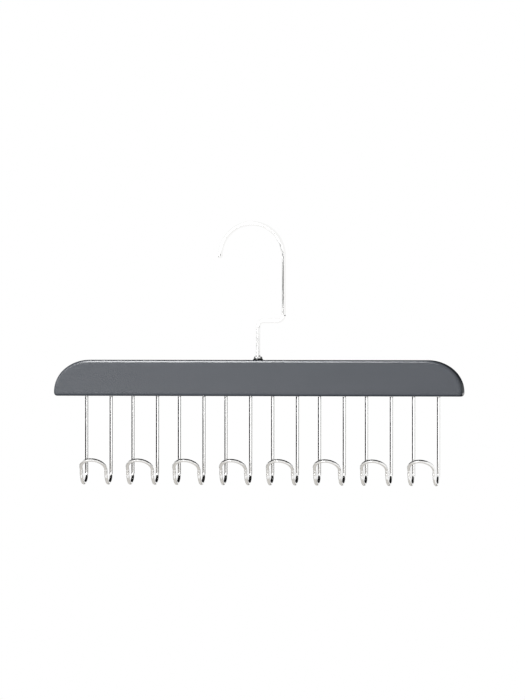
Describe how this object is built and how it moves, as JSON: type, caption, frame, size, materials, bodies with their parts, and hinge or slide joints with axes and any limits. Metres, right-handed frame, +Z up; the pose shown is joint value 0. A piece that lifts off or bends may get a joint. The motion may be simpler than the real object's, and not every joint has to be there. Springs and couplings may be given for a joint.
{
  "type": "tie hanger",
  "caption": "Hanger for ties and belts: a painted bar with bent wire loops below it and a plated hook above that swivels and hangs on a closet rod.",
  "frame": {"origin": "inner top of the hook's arc, where the hook bears on a closet rod", "axes": "+X along the bar towards the hook's straight back, +Y to the back of the bar, away from the loops, +Z up"},
  "size_m": [0.3556, 0.0341, 0.2236],
  "materials": {
    "painted_wood": "satin grey paint",
    "wire_plate": "bright plated steel wire",
    "ferrule_plate": "bright plated steel"
  },
  "bodies": {
    "hook": {"swivel_hook": "wire_plate"},
    "hanger_bar": {"bar": "painted_wood", "ferrule": "ferrule_plate", "wire_hook_1": "wire_plate", "wire_hook_2": "wire_plate", "wire_hook_3": "wire_plate", "wire_hook_4": "wire_plate", "wire_hook_5": "wire_plate", "wire_hook_6": "wire_plate", "wire_hook_7": "wire_plate", "wire_hook_8": "wire_plate"}
  },
  "joints": [
    {"name": "hook_swivel", "type": "hinge", "parent": "hook", "child": "hanger_bar", "pos_m": [0.0054, 0, -0.1138], "axis": [0, 0, 1], "continuous": true}
  ]
}
